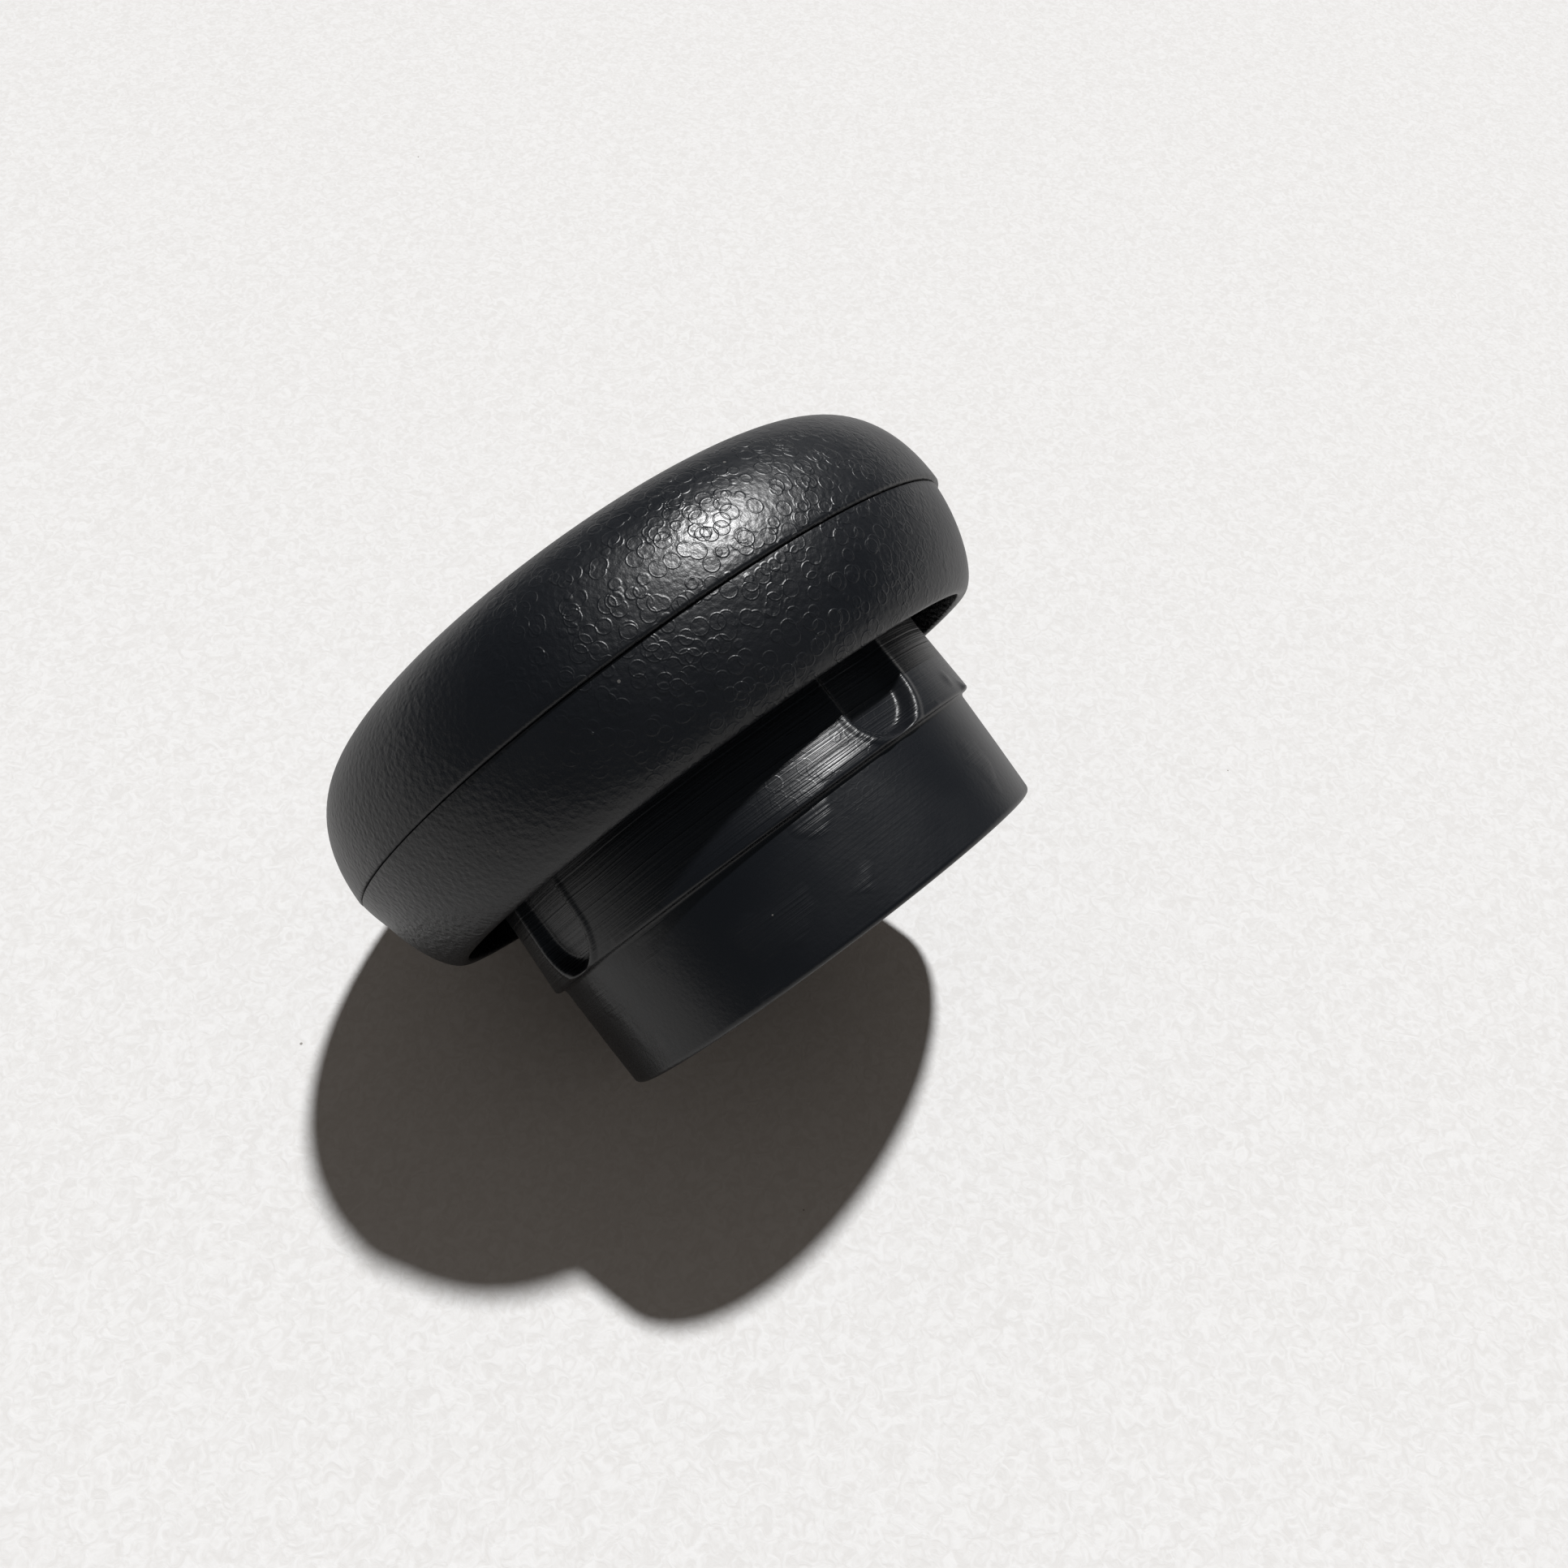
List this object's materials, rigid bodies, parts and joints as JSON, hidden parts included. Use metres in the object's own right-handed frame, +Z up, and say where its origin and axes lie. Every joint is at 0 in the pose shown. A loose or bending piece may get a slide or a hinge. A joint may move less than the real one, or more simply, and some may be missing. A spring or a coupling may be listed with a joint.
{
  "type": "desk grommet",
  "caption": "Round desk cable grommet with a fat two-shell rim, a scooped collar for the desk's hole, and a turning cap with a sprung cable flap.",
  "frame": {"origin": "on the axis of the desk's hole, in the plane of the desk's top face, where the rim's lip rests", "axes": "+Z is up, along the hole's axis, out of the desk; +X and +Y each point midway between two scoops, and the cap's cable slot opens towards +Y"},
  "size_m": [0.06, 0.06, 0.0355],
  "materials": {
    "grained_plastic": "black, fine moulded grain",
    "smooth_plastic": "black, smooth satin with faint lines round it",
    "cap_plastic": "black, fine moulded grain",
    "zinc_steel": "zinc plated",
    "pin_steel": "drawn wire",
    "spring_steel": "drawn spring wire",
    "seal_rubber": "soft matt"
  },
  "bodies": {
    "rim": {"upper_shell": "grained_plastic", "lower_shell": "grained_plastic", "collar": "smooth_plastic", "collar_screws": "zinc_steel"},
    "seal": {"cap_seal": "seal_rubber"},
    "cap": {"cap": "cap_plastic", "flap_pin": "pin_steel", "flap_spring": "spring_steel"},
    "flap": {"cable_flap": "cap_plastic"}
  },
  "joints": [
    {"name": "cap_lift", "type": "slide", "parent": "rim", "child": "seal", "axis": [0, 0, 1], "range_m": [0, 0.008]},
    {"name": "cap_turn", "type": "hinge", "parent": "seal", "child": "cap", "pos_m": [0, 0, 0.019], "axis": [0, 0, 1], "continuous": true},
    {"name": "flap_hinge", "type": "hinge", "parent": "cap", "child": "flap", "pos_m": [0, 0.0048, 0.0173], "axis": [1, 0, 0], "range_deg": [0, 100], "stiffness_Nm_per_rad": 0.0015, "springref_deg": -34.38}
  ]
}
